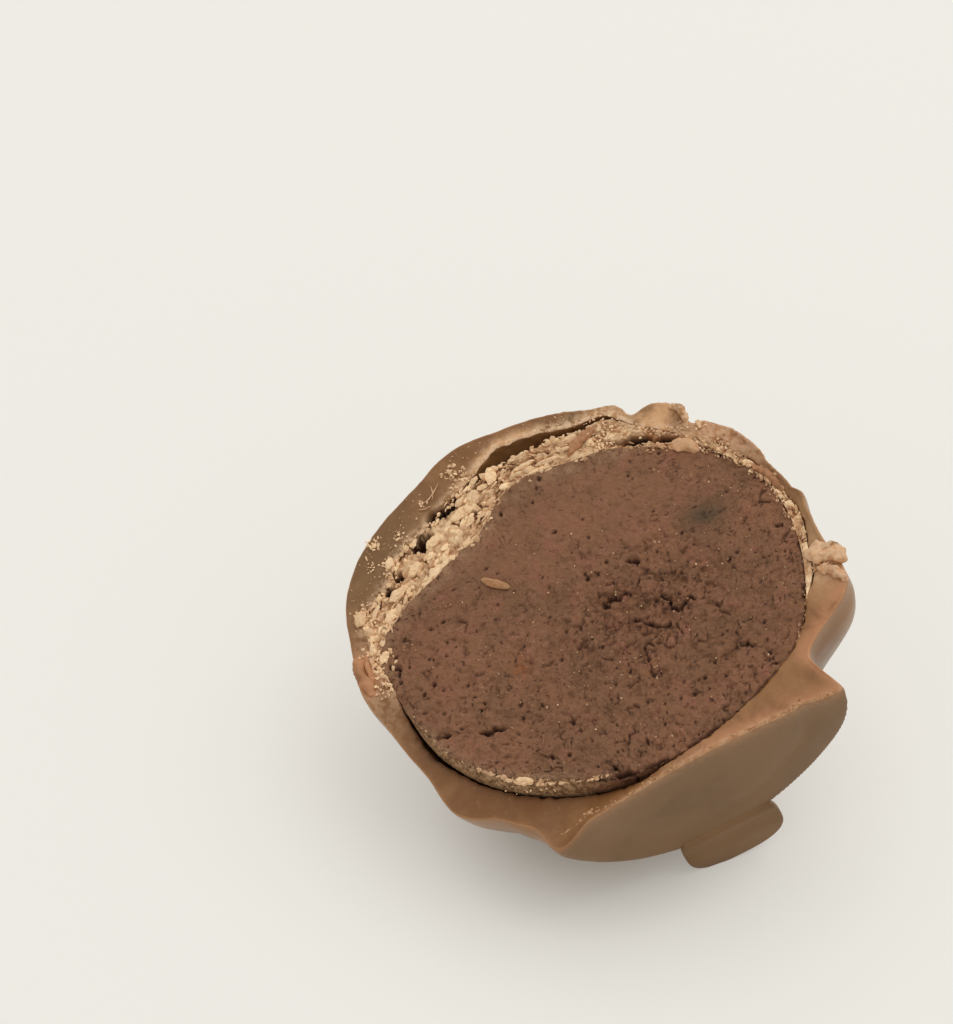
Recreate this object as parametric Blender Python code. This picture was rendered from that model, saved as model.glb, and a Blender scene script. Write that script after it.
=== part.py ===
"""Chocolate truffle, one cut half: milk chocolate coating, pale inner coat, ganache filling.

Metres, +Z up.  The half is first shaped upright, its cut in the XZ plane and its body towards +Y,
then laid on its rounded back with the cut face tipped to the front (-Y).
"""
import math

import bmesh
import bpy
import numpy as np
from mathutils import Matrix

MM = 0.001

# ---- driving sizes, millimetres ----
HEART_HEIGHT = 15.5          # middle of the filling above the underside of the foot
BODY_WIDTH = 36.0            # across the coating at the cut
DOME_RISE = 17.8             # middle of the filling to the top of the dome
BELLY_DROP = 17.0            # middle of the filling down to the coating, before the foot is cut flat
FILLING_WIDTH = 33.0
FILLING_RISE = 13.3
FILLING_DROP = 14.5
CRUST_WIDTH = 33.4           # pale inner coat, outside
CRUST_RISE = 15.2
CRUST_DROP = 16.0
LAYER_GAP = 0.3              # air left between one layer and the next
CRUST_GAP = 0.36             # and where the coating has come away from the pale coat
COAT_LEAST = 0.4             # thinnest coating
FOOT_EDGE = 0.4              # softness of the edge round the foot
FOOT_HOLLOW = 0.0065         # the underside rises in the middle, mm per mm squared
FOLD_HEIGHT = 0.45
SWIRL_AXIS = (-0.12, 0.46, 0.88)
SWIRL_RADIUS = 18.0          # degrees from the swirl's middle to its ridge
SWIRL_HEIGHT = 0.9
TAB_CENTRE = (0.4, 13.75, 0.7)
TAB_HALF = (4.5, 2.1, 2.2)    # pooled drip behind the foot, half sizes
CRUST_EDGE_RIGHT = -16.0     # degrees above the middle at which the pale coat begins
CRUST_EDGE_LEFT = 24.0
RIM_STEP = 1.3               # how far the coating is broken away below the filling, lower left
REST_FLAT = 0.5              # depth of the small flat it lies on
LEAN_U = (0.875, 0.351, 0.327)
LEAN_N = (-0.240, -0.271, 0.931)

# bumps and dips round the cut: angle in degrees, spread in degrees, height in mm
COAT_SHAPE = (
    (140, 26, 2.0),          # full shoulder on the left
    (102, 10, 0.8),          # top of the dome
    (66, 9, -0.5),           # dipping side on the right
    (54.5, 3, -1.1),         # two notches with a bump between them
    (45.5, 4, 0.3),
    (38, 2.5, -0.8),
    (33, 4, -0.3),
    (10, 6, -0.7),
    (1.0, 2.5, 0.35),        # small lip
    (170, 8, 0.6),
)
FOLD_SHAPE = (
    (-25, 10, 2.0),          # fold above the foot, right
    (-152, 9, 1.3),          # fold above the foot, left
)
FOOT_SHAPE = (
    (-51.5, 4, 4.5),         # foot lip, right
    (-125, 5, 2.0),          # foot lip, left
)
FILLING_SHAPE = (
    (118, 16, -2.0),         # flattened shoulder
    (137, 10, -0.9),
    (161, 8, 1.1),
    (72, 12, -0.5),
    (46, 12, -0.5),
    (-40, 18, 0.8),
)
CRUST_SHAPE = (
    (151, 8, 1.8),
    (133, 9, 0.7),
    (61, 6, 0.8),
    (-5, 12, 0.6),
    (40, 8, -0.3),
)


def smooth(edge0, edge1, x):
    t = np.clip((x - edge0) / (edge1 - edge0), 0.0, 1.0)
    return t * t * (3.0 - 2.0 * t)


def rises(angle, shape):
    """Sum of named bumps at an angle round the cut, in degrees."""
    total = np.zeros_like(angle)
    for centre, spread, height in shape:
        off = (angle - centre + 180.0) % 360.0 - 180.0
        total = total + height * np.exp(-(off / spread) ** 2)
    return total


def bumps(direction, shape):
    """Bumps of the two sides of the cut, blended into each other round the back."""
    lift = np.degrees(np.arcsin(np.clip(direction[:, 2], -1.0, 1.0)))
    turn = np.arctan2(direction[:, 1], direction[:, 0])
    right = 0.5 + 0.5 * np.cos(turn)
    return right * rises(lift, shape) + (1.0 - right) * rises(180.0 - lift, shape)


def layer(direction, width, rise, drop, shape):
    """Radius of a layer: an egg with its own rise and drop, and its bumps."""
    tall = np.where(direction[:, 2] > 0.0, rise, drop)
    flat = np.hypot(direction[:, 0], direction[:, 1])
    base = 1.0 / np.sqrt((2.0 * flat / width) ** 2 + (direction[:, 2] / tall) ** 2)
    return base + bumps(direction, shape)


def filling_radius(direction):
    return layer(direction, FILLING_WIDTH, FILLING_RISE, FILLING_DROP, FILLING_SHAPE)


def crust_radius(direction):
    thin = filling_radius(direction) + LAYER_GAP + 0.3
    return np.maximum(layer(direction, CRUST_WIDTH, CRUST_RISE, CRUST_DROP, CRUST_SHAPE), thin)


def crust_edge(turn):
    """Lowest angle of the pale coat round the body, in degrees."""
    right = 0.5 + 0.5 * np.cos(turn)
    return right * CRUST_EDGE_RIGHT + (1.0 - right) * CRUST_EDGE_LEFT


def pocket_radius(direction):
    """Inside of the coating: clear of the pale coat on the dome, of the filling below it."""
    lift = np.degrees(np.arcsin(np.clip(direction[:, 2], -1.0, 1.0)))
    turn = np.arctan2(direction[:, 1], direction[:, 0])
    low = filling_radius(direction) + LAYER_GAP
    high = crust_radius(direction) + CRUST_GAP
    share = smooth(-13.0, -6.0, lift - crust_edge(turn))
    return low + (high - low) * share


def coat_radius(direction):
    """Outside of the coating: even and round behind, a swirl on the dome, a foot cut flat below."""
    lift = np.degrees(np.arcsin(np.clip(direction[:, 2], -1.0, 1.0)))
    turn = np.arctan2(direction[:, 1], direction[:, 0])
    back = np.sin(turn) ** 2
    even = layer(direction, BODY_WIDTH, DOME_RISE, BELLY_DROP, ())
    body = even + bumps(direction, COAT_SHAPE) * (1.0 - 0.9 * back ** 2)
    body = body + bumps(direction, FOLD_SHAPE) * np.maximum(1.0 - 2.5 * back, 0.0)
    body = body + bumps(direction, FOOT_SHAPE)
    wave = FOLD_HEIGHT * np.sin(3.0 * turn + 0.05 * lift + 0.6)
    body = body + wave * back * smooth(12.0, 35.0, lift) * smooth(88.0, 65.0, lift)
    axis = np.array(SWIRL_AXIS) / np.linalg.norm(SWIRL_AXIS)
    away = np.degrees(np.arccos(np.clip(direction @ axis, -1.0, 1.0)))
    curl = np.exp(-((away - SWIRL_RADIUS) / 6.0) ** 2) - 0.5 * np.exp(-(away / 8.0) ** 2)
    body = body + SWIRL_HEIGHT * curl * smooth(0.0, 0.25, direction[:, 1])
    body = np.maximum(body, pocket_radius(direction) + COAT_LEAST)
    fall = np.maximum(-direction[:, 2], 1e-3)
    across = direction[:, 0] * HEART_HEIGHT / fall
    depth = direction[:, 1] * HEART_HEIGHT / fall
    hollow = FOOT_HOLLOW * np.minimum(across ** 2, 200.0) * smooth(14.0, 2.0, depth)
    flat = (HEART_HEIGHT + hollow) / fall
    return body - FOOT_EDGE * np.logaddexp(0.0, (body - flat) / FOOT_EDGE)


def half_ball(around, up, levels):
    """Half of a unit ball, open at the cut (y = 0); rows gathered where the shape needs them."""
    bm = bmesh.new()
    bmesh.ops.create_uvsphere(bm, u_segments=2 * around, v_segments=up, radius=1.0)
    everything = bm.verts[:] + bm.edges[:] + bm.faces[:]
    bmesh.ops.bisect_plane(bm, geom=everything, dist=1e-5, plane_co=(0, 0, 0),
                           plane_no=(0, 1, 0), clear_inner=True)
    rows, lifts = zip(*levels)
    for v in bm.verts:
        lift = math.degrees(math.asin(max(-1.0, min(1.0, v.co.z))))
        turn = math.atan2(max(v.co.y, 0.0), v.co.x)
        new = math.radians(float(np.interp((lift + 90.0) / 180.0, rows, lifts)))
        v.co = (math.cos(turn) * math.cos(new), math.sin(turn) * math.cos(new), math.sin(new))
        if abs(v.co.y) < 1e-6:
            v.co.y = 0.0
    return bm


def coords(bm):
    return np.array([v.co[:] for v in bm.verts])


def put(bm, points):
    for v, p in zip(bm.verts, points):
        v.co = p * MM
    return bm


def shape_to(bm, radius, step=0.0):
    """Push a unit half ball out to a radius function; step sinks the lower left of its rim."""
    way = coords(bm)
    sink = step / 18.0 * rim_share(way)
    way[:, 1] = way[:, 1] + sink * (1.0 - np.clip(way[:, 1], 0.0, 1.0)) ** 6
    way /= np.linalg.norm(way, axis=1)[:, None]
    points = way * radius(way)[:, None]
    points[:, 2] += HEART_HEIGHT
    return put(bm, points)


def rim_share(way):
    angle = np.degrees(np.arctan2(way[:, 2], way[:, 0])) % 360.0
    return smooth(160.0, 185.0, angle) * smooth(252.0, 232.0, angle)


def open_loop(bm):
    return [e for e in bm.edges if e.is_boundary]


def append(target, source):
    mesh = bpy.data.meshes.new("joined")
    source.to_mesh(mesh)
    source.free()
    target.from_mesh(mesh)
    bpy.data.meshes.remove(mesh)


def shell(outer, inner):
    """Outer and inner skins, each with one open rim, joined by a band between the rims."""
    bmesh.ops.reverse_faces(inner, faces=inner.faces[:])
    append(outer, inner)
    bmesh.ops.bridge_loops(outer, edges=open_loop(outer))
    return outer


def make_object(name, bm, material):
    bmesh.ops.recalc_face_normals(bm, faces=bm.faces[:])
    mesh = bpy.data.meshes.new(name)
    bm.to_mesh(mesh)
    bm.free()
    obj = bpy.data.objects.new(name, mesh)
    bpy.context.scene.collection.objects.link(obj)
    mesh.materials.append(material)
    for poly in mesh.polygons:
        poly.use_smooth = True
    return obj


def make_material(name, colour, roughness):
    mat = bpy.data.materials.new(name)
    mat.use_nodes = True
    bsdf = mat.node_tree.nodes["Principled BSDF"]
    bsdf.inputs["Base Color"].default_value = (*colour, 1.0)
    bsdf.inputs["Roughness"].default_value = roughness
    return mat


def coating():
    rows = ((0.0, -90.0), (0.12, -60.0), (0.36, -36.0), (1.0, 90.0))
    outer = shape_to(half_ball(38, 50, rows), coat_radius, RIM_STEP)
    inner = shape_to(half_ball(30, 30, ((0.0, -90.0), (1.0, 90.0))), pocket_radius, RIM_STEP)
    return shell(outer, inner)


def tab():
    """Rounded lobe in the plane of the foot, its own flat below."""
    bm = bmesh.new()
    bmesh.ops.create_uvsphere(bm, u_segments=28, v_segments=14, radius=1.0)
    for v in bm.verts:
        full = max(abs(v.co.x) ** 2.6 + abs(v.co.y) ** 2.6, 1e-9) ** (1 / 2.6)
        plain = math.hypot(v.co.x, v.co.y)
        swell = plain / full if full > 1e-6 else 1.0
        v.co.x = (TAB_CENTRE[0] + v.co.x * swell * TAB_HALF[0]) * MM
        v.co.y = (TAB_CENTRE[1] + v.co.y * swell * TAB_HALF[1]) * MM
        v.co.z = (TAB_CENTRE[2] + v.co.z * TAB_HALF[2]) * MM
    everything = bm.verts[:] + bm.edges[:] + bm.faces[:]
    cut = bmesh.ops.bisect_plane(bm, geom=everything, dist=1e-7, plane_co=(0, 0, 0),
                                 plane_no=(0, 0, -1), clear_outer=True)
    rim = [g for g in cut["geom_cut"] if isinstance(g, bmesh.types.BMEdge)]
    bmesh.ops.contextual_create(bm, geom=rim)
    return bm


def crust_inside(direction):
    return filling_radius(direction) + LAYER_GAP


def inner_coat():
    skins = []
    for radius in (crust_radius, crust_inside):
        bm = bmesh.new()
        bmesh.ops.create_uvsphere(bm, u_segments=60, v_segments=32, radius=1.0)
        everything = bm.verts[:] + bm.edges[:] + bm.faces[:]
        bmesh.ops.bisect_plane(bm, geom=everything, dist=1e-5, plane_co=(0, 0, 0),
                               plane_no=(0, 1, 0), clear_inner=True)
        everything = bm.verts[:] + bm.edges[:] + bm.faces[:]
        bmesh.ops.bisect_plane(bm, geom=everything, dist=1e-5, plane_co=(0, 0, 0),
                               plane_no=(0, 0, 1), clear_inner=True)
        way = coords(bm)
        lift = np.degrees(np.arcsin(np.clip(way[:, 2], -1.0, 1.0)))
        turn = np.arctan2(np.maximum(way[:, 1], 0.0), way[:, 0])
        low = crust_edge(turn)
        lift = np.radians(low + (90.0 - low) * lift / 90.0)
        way = np.stack([np.cos(turn) * np.cos(lift), np.sin(turn) * np.cos(lift), np.sin(lift)], 1)
        way[np.abs(way[:, 1]) < 1e-6, 1] = 0.0
        points = way * radius(way)[:, None]
        points[:, 2] += HEART_HEIGHT
        skins.append(put(bm, points))
    return shell(*skins)


def ganache():
    bm = shape_to(half_ball(26, 26, ((0.0, -90.0), (1.0, 90.0))), filling_radius)
    bmesh.ops.contextual_create(bm, geom=open_loop(bm))
    return bm


def lay_down(objects):
    """Turn every solid by the same lean and drop the half onto z = 0."""
    across = np.array(LEAN_U) / np.linalg.norm(LEAN_U)
    normal = np.array(LEAN_N) - np.dot(LEAN_N, across) * across
    normal /= np.linalg.norm(normal)
    upright = np.cross(across, -normal)
    turn = Matrix(np.column_stack([across, -normal, upright]).tolist()).to_4x4()
    for obj in objects:
        obj.data.transform(turn)
    low = min(v.co.z for v in objects[0].data.vertices) + REST_FLAT * MM
    spots = np.array([v.co[:] for v in objects[0].data.vertices])
    middle = (spots.min(axis=0) + spots.max(axis=0)) / 2.0
    for obj in objects:
        obj.data.transform(Matrix.Translation((-middle[0], -middle[1], -low)))


def cut_rest_flat(obj):
    bm = bmesh.new()
    bm.from_mesh(obj.data)
    everything = bm.verts[:] + bm.edges[:] + bm.faces[:]
    cut = bmesh.ops.bisect_plane(bm, geom=everything, dist=1e-7, plane_co=(0, 0, 0),
                                 plane_no=(0, 0, -1), clear_outer=True)
    rim = [g for g in cut["geom_cut"] if isinstance(g, bmesh.types.BMEdge)]
    bmesh.ops.contextual_create(bm, geom=rim)
    bmesh.ops.recalc_face_normals(bm, faces=bm.faces[:])
    bm.to_mesh(obj.data)
    bm.free()


def main():
    for obj in list(bpy.data.objects):
        bpy.data.objects.remove(obj, do_unlink=True)
    milk = make_material("milk_chocolate", (0.24, 0.13, 0.075), 0.38)
    pale = make_material("pale_inner_coat", (0.52, 0.36, 0.22), 0.75)
    dark = make_material("ganache", (0.15, 0.075, 0.045), 0.6)
    coat = make_object("coating", coating(), milk)
    lobe = make_object("tab_cutter", tab(), milk)
    crust = make_object("inner_coat", inner_coat(), pale)
    heart = make_object("ganache", ganache(), dark)
    join = coat.modifiers.new("tab", "BOOLEAN")
    join.operation = "UNION"
    join.solver = "EXACT"
    join.object = lobe
    bpy.context.view_layer.update()
    solved = bpy.data.meshes.new_from_object(
        coat.evaluated_get(bpy.context.evaluated_depsgraph_get()))
    coat.modifiers.clear()
    coat.data = solved
    solved.name = "coating"
    bpy.data.objects.remove(lobe, do_unlink=True)
    lay_down([coat, crust, heart])
    cut_rest_flat(coat)


main()
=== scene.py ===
import math

import bmesh
import bpy
import numpy as np
from mathutils import Matrix, Vector


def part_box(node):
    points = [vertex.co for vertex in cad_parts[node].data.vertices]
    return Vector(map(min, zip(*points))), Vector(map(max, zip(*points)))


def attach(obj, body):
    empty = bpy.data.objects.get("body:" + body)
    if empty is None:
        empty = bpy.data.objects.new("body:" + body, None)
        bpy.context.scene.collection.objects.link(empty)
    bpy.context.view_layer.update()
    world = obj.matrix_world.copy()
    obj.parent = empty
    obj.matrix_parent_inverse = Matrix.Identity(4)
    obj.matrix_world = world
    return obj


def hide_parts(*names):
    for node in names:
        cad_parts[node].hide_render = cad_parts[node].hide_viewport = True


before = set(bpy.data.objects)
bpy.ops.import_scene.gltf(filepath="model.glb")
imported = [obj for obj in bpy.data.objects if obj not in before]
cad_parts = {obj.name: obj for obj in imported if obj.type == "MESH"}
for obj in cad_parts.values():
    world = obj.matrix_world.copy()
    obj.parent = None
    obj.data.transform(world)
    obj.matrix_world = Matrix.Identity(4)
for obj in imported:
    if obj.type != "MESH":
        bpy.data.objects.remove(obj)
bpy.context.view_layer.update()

MM = 0.001

# --- sizes, in millimetres and degrees
HEART_HEIGHT = 15.5
BODY_WIDTH, DOME_RISE, BELLY_DROP = 36.0, 17.8, 17.0
FILLING_WIDTH, FILLING_RISE, FILLING_DROP = 33.0, 13.3, 14.5
CRUST_WIDTH, CRUST_RISE, CRUST_DROP = 33.4, 15.2, 16.0
LAYER_GAP, CRUST_GAP = 0.3, 0.36
COAT_LEAST = 0.4
CRUST_TAPER = 13.0             # degrees over which the pale coat thins out
TUCK = 0.04                    # share by which hidden layers are drawn in
FOOT_EDGE = 0.22
FOOT_HOLLOW, FOOT_ARCH = 0.0065, 260.0      # hollow per mm2 off the middle, mm2 where it levels off
FOLD_HEIGHT = 0.45
SWIRL_AXIS, SWIRL_RADIUS, SWIRL_HEIGHT = (-0.12, 0.46, 0.88), 18.0, 0.9
SWIRL_BAND, SWIRL_EYE = 6.0, 8.0
TABLE_GAP = 0.02
TAB_CENTRE, TAB_HALF = (1.0, 13.4, 0.05), (4.1, 2.8, 1.7)
DRIP_SOLE = -0.3
CRUST_EDGE_RIGHT, CRUST_EDGE_LEFT = -16.0, 24.0
LEAN_U, LEAN_N = (0.875, 0.351, 0.327), (-0.24, -0.271, 0.931)

COAT_SHAPE = (
    (140, 26, 2.0), (102, 10, 0.8), (66, 9, -0.5), (54.5, 3, -1.1), (45.5, 4, 0.3),
    (38, 2.5, -0.8), (33, 4, -0.3), (10, 6, -0.7), (1.0, 2.5, 0.35), (170, 8, 0.6),
)
FOLD_SHAPE = ((-25, 10, 2.0), (-152, 9, 1.3))
FOOT_SHAPE = ((-51.5, 4, 4.5), (-125, 5, 2.0))
STRAIGHT_FOOT = ((-60.5, 5.0, 1.5),)
SIDE_SWELLS = (
    # direction from the middle, height, spread in degrees, depth where it starts
    ((-0.672, 0.175, -0.725), 0.9, 8.0, 0.03), ((0.831, 0.208, -0.516), 0.45, 11.0, 0.02),
)
FILLING_SHAPE = (
    (118, 16, -2.0), (137, 10, -0.9), (161, 8, 1.1), (72, 12, -0.5), (46, 12, -0.5), (-40, 18, 0.8),
)
CRUST_SHAPE = ((151, 8, 1.8), (133, 9, 0.7), (61, 6, 0.8), (-5, 12, 0.6), (40, 8, -0.3))


# --- numbers over a surface
def limit(x):
    return np.clip(x, 0.0, 1.0)


def smooth(edge0, edge1, x):
    """0 at one edge, 1 at the other, eased between."""
    t = limit((x - edge0) / (edge1 - edge0))
    return t * t * (3.0 - 2.0 * t)


def unit(vectors):
    return vectors / np.linalg.norm(vectors, axis=-1, keepdims=True)


def fade(distance, reach, power=2):
    """1 at no distance, falling off with it."""
    return np.exp(-(distance / reach) ** power)


def scramble(a, b, c):
    """The same number from 0 to 255 each time for one cell."""
    return (a * 73856093 ^ b * 19349663 ^ c * 83492791) & 255


SLOPES = unit(np.random.default_rng(7).normal(size=(256, 3)))


def swell(points, size, seed):
    """Soft uneven noise between about -1 and 1; size is one swell in mm."""
    p = points / size + 13.7 * seed
    cell = np.floor(p).astype(np.int64)
    inside = p - cell
    ease = inside ** 3 * (inside * (inside * 6.0 - 15.0) + 10.0)
    total = np.zeros(len(p))
    for corner in ((a, b, c) for a in (0, 1) for b in (0, 1) for c in (0, 1)):
        at = cell + corner
        lean = np.einsum("ij,ij->i", SLOPES[scramble(*at.T)], inside - corner)
        weight = np.prod(np.where(np.array(corner) == 1, ease, 1.0 - ease), axis=1)
        total += lean * weight
    return total * 1.7


SPOTS = np.random.default_rng(11).random((256, 3))


def clods(u, v, seed):
    """Broken ground, one clod about a unit wide: each clod's random level, and the way to a crack."""
    cell_u, cell_v = np.floor(u).astype(np.int64), np.floor(v).astype(np.int64)
    first, second = np.full(len(u), 9.0), np.full(len(u), 9.0)
    level = np.zeros(len(u))
    for du in (-1, 0, 1):
        for dv in (-1, 0, 1):
            at_u, at_v = cell_u + du, cell_v + dv
            spot = SPOTS[scramble(at_u, at_v, seed)]
            gap = np.hypot(u - at_u - spot[:, 0], v - at_v - spot[:, 1])
            nearer = gap < first
            second = np.where(nearer, first, np.minimum(second, gap))
            level = np.where(nearer, spot[:, 2], level)
            first = np.where(nearer, gap, first)
    return level, second - first


def flat_points(u, v):
    return np.stack([u, v, np.zeros_like(u)], axis=1)


# --- forms of the layers
def rises(angle, shape):
    """Sum of soft bumps; each has its middle and spread in degrees, and its height."""
    total = np.zeros_like(angle)
    for centre, spread, height in shape:
        off = (angle - centre + 180.0) % 360.0 - 180.0
        total += height * fade(off, spread)
    return total


def lift_turn(way):
    lift = np.degrees(np.arcsin(np.clip(way[:, 2], -1.0, 1.0)))
    return lift, np.arctan2(way[:, 1], way[:, 0])


def bumps(way, shape):
    lift, turn = lift_turn(way)
    right = 0.5 + 0.5 * np.cos(turn)
    return right * rises(lift, shape) + (1.0 - right) * rises(180.0 - lift, shape)


def layer(way, width, rise, drop, shape):
    tall = np.where(way[:, 2] > 0.0, rise, drop)
    flat = np.hypot(way[:, 0], way[:, 1])
    base = 1.0 / np.sqrt((2.0 * flat / width) ** 2 + (way[:, 2] / tall) ** 2)
    return base + bumps(way, shape)


def filling_radius(way):
    return layer(way, FILLING_WIDTH, FILLING_RISE, FILLING_DROP, FILLING_SHAPE)


def crust_radius(way):
    thin = filling_radius(way) + LAYER_GAP + 0.3
    return np.maximum(layer(way, CRUST_WIDTH, CRUST_RISE, CRUST_DROP, CRUST_SHAPE), thin)


def crust_edge(turn):
    right = 0.5 + 0.5 * np.cos(turn)
    return right * CRUST_EDGE_RIGHT + (1.0 - right) * CRUST_EDGE_LEFT


def pocket_radius(way):
    lift, turn = lift_turn(way)
    low = filling_radius(way) + LAYER_GAP
    high = crust_radius(way) + CRUST_GAP
    return low + (high - low) * smooth(-CRUST_TAPER, -6.0, lift - crust_edge(turn))


def tucked(way):
    """Draws the layers in where they are hidden, so that none shows through the coating."""
    return 1.0 - TUCK * smooth(0.1, 0.36, way[:, 1])


def on_body(way, size, seed):
    """Soft noise over the body's surface."""
    return swell(way * BODY_WIDTH / 2.0, size, seed)


def degrees_from(way, axis):
    return np.degrees(np.arccos(np.clip(way @ unit(np.array(axis)), -1.0, 1.0)))


def coat_radius(way):
    """Outside of the coating; also says how far a point is on the flat underside."""
    lift, turn = lift_turn(way)
    back = np.sin(turn) ** 2
    body = layer(way, BODY_WIDTH, DOME_RISE, BELLY_DROP, ())
    body += bumps(way, COAT_SHAPE) * (1.0 - 0.9 * back ** 2)
    body += bumps(way, FOLD_SHAPE) * np.maximum(1.0 - 2.5 * back, 0.0)
    body += bumps(way, FOOT_SHAPE)
    body += bumps(way, STRAIGHT_FOOT) * smooth(0.62, 0.42, way[:, 1])
    for centre, tall, spread, start in SIDE_SWELLS:
        body += tall * fade(degrees_from(way, centre), spread) * smooth(start, start + 0.1, way[:, 1])
    wave = FOLD_HEIGHT * np.sin(3.0 * turn + 0.05 * lift + 0.6)
    body += wave * back * smooth(12.0, 35.0, lift) * smooth(88.0, 65.0, lift)
    away = degrees_from(way, SWIRL_AXIS)
    curl = fade(away - SWIRL_RADIUS, SWIRL_BAND) - 0.5 * fade(away, SWIRL_EYE)
    body += SWIRL_HEIGHT * curl * smooth(0.0, 0.25, way[:, 1])
    body = np.maximum(body, pocket_radius(way) + COAT_LEAST)
    body += 0.1 * on_body(way, 5.0, 1) + 0.04 * on_body(way, 2.0, 2)
    fall = np.maximum(-way[:, 2], 1e-3)
    across = way[:, 0] * HEART_HEIGHT / fall
    depth = way[:, 1] * HEART_HEIGHT / fall
    hollow = FOOT_HOLLOW * FOOT_ARCH * np.tanh(across ** 2 / FOOT_ARCH) * smooth(14.0, 2.0, depth)
    flat = (HEART_HEIGHT + hollow) / fall
    edge = FOOT_EDGE * np.logaddexp(0.0, (body - flat) / FOOT_EDGE)
    return body - edge, smooth(-1.8, 0.3, body - flat)


def globe(turn, lift):
    """Unit directions from the middle: turn round the upright half, lift above its middle."""
    return np.stack([np.cos(turn) * np.cos(lift), np.sin(turn) * np.cos(lift), np.sin(lift)], 1)


def directions(angle, rise):
    """Unit directions from the middle: angle round the cut, rise away from it, in radians."""
    return np.stack([np.cos(angle) * np.cos(rise), np.sin(rise), np.sin(angle) * np.cos(rise)], 1)


# --- laying the half down
def lean_matrix():
    across = unit(np.array(LEAN_U))
    normal = unit(np.array(LEAN_N) - np.dot(LEAN_N, across) * across)
    return np.column_stack([across, -normal, np.cross(across, -normal)])


LEAN = lean_matrix()


def find_shift():
    """Where the upright half's zero lies in the frame, from the filling's own box."""
    lift, turn = np.meshgrid(np.radians(np.linspace(-90, 90, 27)), np.radians(np.linspace(0, 180, 27)))
    lift, turn = lift.ravel(), turn.ravel()
    way = globe(turn, lift)
    points = way * filling_radius(way)[:, None] + (0.0, 0.0, HEART_HEIGHT)
    return np.array(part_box("ganache")[0]) / MM - (points @ LEAN.T).min(axis=0)


SHIFT = find_shift()


def lay(points, lift=0.0):
    """Upright millimetres to metres in the frame, nothing below the table."""
    laid = (points + (0.0, 0.0, lift)) @ LEAN.T + SHIFT
    laid[:, 2] = np.maximum(laid[:, 2], TABLE_GAP)
    return laid * MM


# --- mesh helpers
def grow_ring(bm, edges):
    made = bmesh.ops.extrude_edge_only(bm, edges=edges)["geom"]
    verts = [g for g in made if isinstance(g, bmesh.types.BMVert)]
    return verts, [g for g in made if isinstance(g, bmesh.types.BMEdge) and g.is_boundary]


def grow_rings(bm, edges, count):
    """Extrudes a loop again and again, each ring one step up in z."""
    for _ in range(count):
        verts, edges = grow_ring(bm, edges)
        bmesh.ops.translate(bm, verts=verts, vec=(0.0, 0.0, 1.0))
    return edges


def close_loop(bm, edges):
    face = bmesh.ops.contextual_create(bm, geom=edges)["faces"]
    bmesh.ops.poke(bm, faces=face)


def plan(bm):
    return np.array([v.co[:] for v in bm.verts])


def put(name, data):
    made = bpy.data.objects.new(name, data)
    bpy.context.scene.collection.objects.link(made)
    return made


def finish_piece(name, bm, points, material, marks, cad=None):
    """Gives the template its final places in metres and makes the piece."""
    mesh = bpy.data.meshes.new(name)
    bm.to_mesh(mesh)
    bm.free()
    mesh.vertices.foreach_set("co", np.ascontiguousarray(points, np.float32).ravel())
    for mark, values in marks.items():
        attribute = mesh.attributes.new(mark, "FLOAT", "POINT")
        attribute.data.foreach_set("value", np.full(len(points), values, np.float32))
    mesh.update()
    tidy = bmesh.new()
    tidy.from_mesh(mesh)
    bmesh.ops.recalc_face_normals(tidy, faces=tidy.faces[:])
    for face in tidy.faces:
        face.smooth = True
    tidy.to_mesh(mesh)
    tidy.free()
    mesh.materials.append(material)
    piece = put(name, mesh)
    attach(piece, "root")
    if cad:
        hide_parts(cad)
    return piece


# --- finishes
class Field:
    """One socket's value over the surface, written in sums."""

    def __init__(self, finish, socket):
        self.finish = finish
        self.socket = socket

    def _math(self, operation, other):
        return self.finish.node("ShaderNodeMath", {"operation": operation}, {0: self, 1: other})

    def __add__(self, other):
        return self._math("ADD", other)

    def __sub__(self, other):
        return self._math("SUBTRACT", other)

    def __mul__(self, other):
        return self._math("MULTIPLY", other)

    __radd__, __rmul__ = __add__, __mul__

    def over(self, low, high):
        """0 below low, 1 above high, smooth between; low may be the larger."""
        settings = {"interpolation_type": "SMOOTHSTEP", "clamp": True}
        return self.finish.node("ShaderNodeMapRange", settings,
                                {"Value": self, "From Min": low, "From Max": high})


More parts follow.
